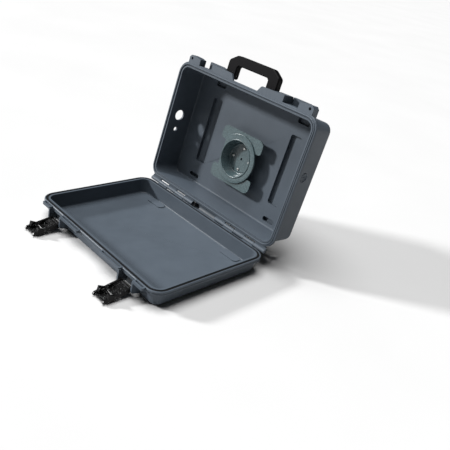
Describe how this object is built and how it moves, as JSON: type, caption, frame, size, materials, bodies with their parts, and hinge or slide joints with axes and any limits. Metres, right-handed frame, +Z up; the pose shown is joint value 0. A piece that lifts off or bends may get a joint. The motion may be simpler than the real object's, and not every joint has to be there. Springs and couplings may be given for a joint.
{
  "type": "latched bait case",
  "caption": "Hard plastic carrying case standing open on its lid, with a folding handle, hanging draw latches and a cup bracket screwed inside the base.",
  "frame": {"origin": "centre of the lid's flat outer face, which lies on the ground", "axes": "+X to the right seen from the open side, +Y towards the standing base, +Z up"},
  "size_m": [0.42, 0.4894, 0.3842],
  "materials": {
    "case_grey": "fine moulded texture, satin",
    "bracket_grey": "smooth, half gloss",
    "black_plastic": "satin",
    "seal_rubber": "matte",
    "steel": "bright"
  },
  "bodies": {
    "lid": {"lid_shell": "case_grey", "lid_gasket": "seal_rubber", "hinge_pin_left": "steel", "hinge_pin_right": "steel", "latch_pin_left": "steel", "latch_pin_right": "steel"},
    "base": {"base_shell": "case_grey", "bait_cup_bracket": "bracket_grey", "cup_screw_right": "steel", "cup_screw_top": "steel", "cup_screw_left": "steel", "cup_screw_bottom": "steel", "handle_pin_left": "steel", "handle_pin_right": "steel", "side_plug": "case_grey"},
    "handle": {"handle_bail": "black_plastic"},
    "latch_left": {"latch_body_left": "black_plastic", "rocker_pin_left": "steel"},
    "rocker_left": {"latch_rocker_left": "black_plastic"},
    "latch_right": {"latch_body_right": "black_plastic", "rocker_pin_right": "steel"},
    "rocker_right": {"latch_rocker_right": "black_plastic"}
  },
  "joints": [
    {"name": "case_hinge", "type": "hinge", "parent": "lid", "child": "base", "pos_m": [0, 0.1522, 0.0417], "axis": [1, 0, 0], "range_deg": [0, 100]},
    {"name": "handle_swing", "type": "hinge", "parent": "base", "child": "handle", "pos_m": [0, 0.22361, 0.34013], "axis": [-1, 0, 0], "range_deg": [0, 90]},
    {"name": "latch_swing_left", "type": "hinge", "parent": "lid", "child": "latch_left", "pos_m": [-0.1295, -0.1505, 0.0157], "axis": [-1, 0, 0], "range_deg": [0, 100.5]},
    {"name": "rocker_press_left", "type": "hinge", "parent": "latch_left", "child": "rocker_left", "pos_m": [-0.1295, -0.18287, 0.00929], "axis": [1, 0, 0], "range_deg": [0, 6], "stiffness_Nm_per_rad": 0.25, "springref_deg": -8.59},
    {"name": "latch_swing_right", "type": "hinge", "parent": "lid", "child": "latch_right", "pos_m": [0.1295, -0.1505, 0.0157], "axis": [-1, 0, 0], "range_deg": [0, 100.5]},
    {"name": "rocker_press_right", "type": "hinge", "parent": "latch_right", "child": "rocker_right", "pos_m": [0.1295, -0.18287, 0.00929], "axis": [1, 0, 0], "range_deg": [0, 6], "stiffness_Nm_per_rad": 0.25, "springref_deg": -8.59}
  ]
}
